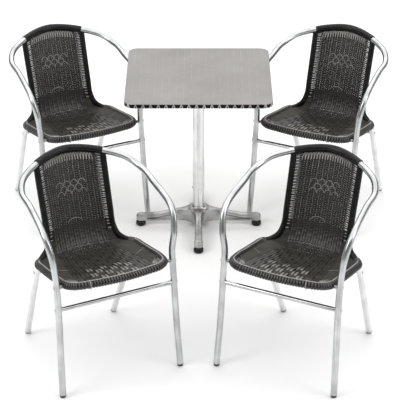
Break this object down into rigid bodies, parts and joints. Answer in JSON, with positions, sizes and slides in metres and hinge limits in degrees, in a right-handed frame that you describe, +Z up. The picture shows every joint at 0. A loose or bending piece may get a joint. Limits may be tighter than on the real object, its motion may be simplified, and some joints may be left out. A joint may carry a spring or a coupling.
{
  "type": "patio dining set",
  "caption": "Square metal pedestal patio table with stacking armchairs: bent aluminium tube hoops and a one-piece woven dark rattan seat and back.",
  "frame": {"origin": "middle of the whole set's footprint, on the floor", "axes": "+Z up; -Y is the side that every chair faces; +X to the right as seen from that side"},
  "size_m": [1.653, 1.8816, 0.762],
  "materials": {
    "top_sheet": "thin stainless sheet with a fine repeating swirl-turned pattern",
    "edge_sheet": "swirl-turned sheet wrapped round the edge",
    "top_board": "raw moulded board core",
    "column_tube": "satin polished tube",
    "cast_base": "polished casting, brighter on its ridges",
    "steel_fixings": "zinc plated",
    "rubber_foot": "moulded black rubber, slightly glossy",
    "chair_tube": "satin polished aluminium tube",
    "rail_sleeve": "smooth dark tube sleeve",
    "wrapped_rim": "flat dark strand wrapped round a rod",
    "rattan_weave": "satin dark extruded strand, woven",
    "dark_glide": "moulded dark grey",
    "grey_glide": "moulded light grey"
  },
  "bodies": {
    "table": {"table_top_core": "top_board", "table_top_skin": "top_sheet", "table_edge_band": "edge_sheet", "table_top_bracket": "cast_base", "table_column": "column_tube", "table_base": "cast_base", "table_tie_rod": "steel_fixings", "table_tie_nut": "steel_fixings"},
    "table_foot_right": {"table_foot_right": "rubber_foot"},
    "table_foot_back": {"table_foot_back": "rubber_foot"},
    "table_foot_left": {"table_foot_left": "rubber_foot"},
    "table_foot_front": {"table_foot_front": "rubber_foot"},
    "chair_back_left": {"chair_back_left_hoop_tube": "chair_tube", "chair_back_left_top_sleeve": "rail_sleeve", "chair_back_left_seat_frame": "wrapped_rim", "chair_back_left_woven_shell": "rattan_weave", "chair_back_left_front_rail": "chair_tube", "chair_back_left_rear_rail": "chair_tube", "chair_back_left_rear_leg_right": "chair_tube", "chair_back_left_rear_leg_left": "chair_tube", "chair_back_left_front_glide_right": "dark_glide", "chair_back_left_front_glide_left": "dark_glide", "chair_back_left_rear_glide_right": "grey_glide", "chair_back_left_rear_glide_left": "grey_glide"},
    "chair_back_right": {"chair_back_right_hoop_tube": "chair_tube", "chair_back_right_top_sleeve": "rail_sleeve", "chair_back_right_seat_frame": "wrapped_rim", "chair_back_right_woven_shell": "rattan_weave", "chair_back_right_front_rail": "chair_tube", "chair_back_right_rear_rail": "chair_tube", "chair_back_right_rear_leg_right": "chair_tube", "chair_back_right_rear_leg_left": "chair_tube", "chair_back_right_front_glide_right": "dark_glide", "chair_back_right_front_glide_left": "dark_glide", "chair_back_right_rear_glide_right": "grey_glide", "chair_back_right_rear_glide_left": "grey_glide"},
    "chair_front_left": {"chair_front_left_hoop_tube": "chair_tube", "chair_front_left_top_sleeve": "rail_sleeve", "chair_front_left_seat_frame": "wrapped_rim", "chair_front_left_woven_shell": "rattan_weave", "chair_front_left_front_rail": "chair_tube", "chair_front_left_rear_rail": "chair_tube", "chair_front_left_rear_leg_right": "chair_tube", "chair_front_left_rear_leg_left": "chair_tube", "chair_front_left_front_glide_right": "dark_glide", "chair_front_left_front_glide_left": "dark_glide", "chair_front_left_rear_glide_right": "grey_glide", "chair_front_left_rear_glide_left": "grey_glide"},
    "chair_front_right": {"chair_front_right_hoop_tube": "chair_tube", "chair_front_right_top_sleeve": "rail_sleeve", "chair_front_right_seat_frame": "wrapped_rim", "chair_front_right_woven_shell": "rattan_weave", "chair_front_right_front_rail": "chair_tube", "chair_front_right_rear_rail": "chair_tube", "chair_front_right_rear_leg_right": "chair_tube", "chair_front_right_rear_leg_left": "chair_tube", "chair_front_right_front_glide_right": "dark_glide", "chair_front_right_front_glide_left": "dark_glide", "chair_front_right_rear_glide_right": "grey_glide", "chair_front_right_rear_glide_left": "grey_glide"}
  },
  "joints": [
    {"name": "table_foot_right_level", "type": "slide", "parent": "table", "child": "table_foot_right", "axis": [0, 0, -1], "range_m": [0, 0.01]},
    {"name": "table_foot_back_level", "type": "slide", "parent": "table", "child": "table_foot_back", "axis": [0, 0, -1], "range_m": [0, 0.01]},
    {"name": "table_foot_left_level", "type": "slide", "parent": "table", "child": "table_foot_left", "axis": [0, 0, -1], "range_m": [0, 0.01]},
    {"name": "table_foot_front_level", "type": "slide", "parent": "table", "child": "table_foot_front", "axis": [0, 0, -1], "range_m": [0, 0.01]},
    {"name": "chair_back_left_pull_out", "type": "slide", "parent": "table", "child": "chair_back_left", "axis": [-0.454, 0.891, 0], "range_m": [0, 0.4]},
    {"name": "chair_back_right_pull_out", "type": "slide", "parent": "table", "child": "chair_back_right", "axis": [0.454, 0.891, 0], "range_m": [0, 0.4]},
    {"name": "chair_front_left_pull_out", "type": "slide", "parent": "table", "child": "chair_front_left", "axis": [0, -1, 0], "range_m": [0, 0.3]},
    {"name": "chair_front_right_pull_out", "type": "slide", "parent": "table", "child": "chair_front_right", "axis": [0, -1, 0], "range_m": [0, 0.3]}
  ]
}
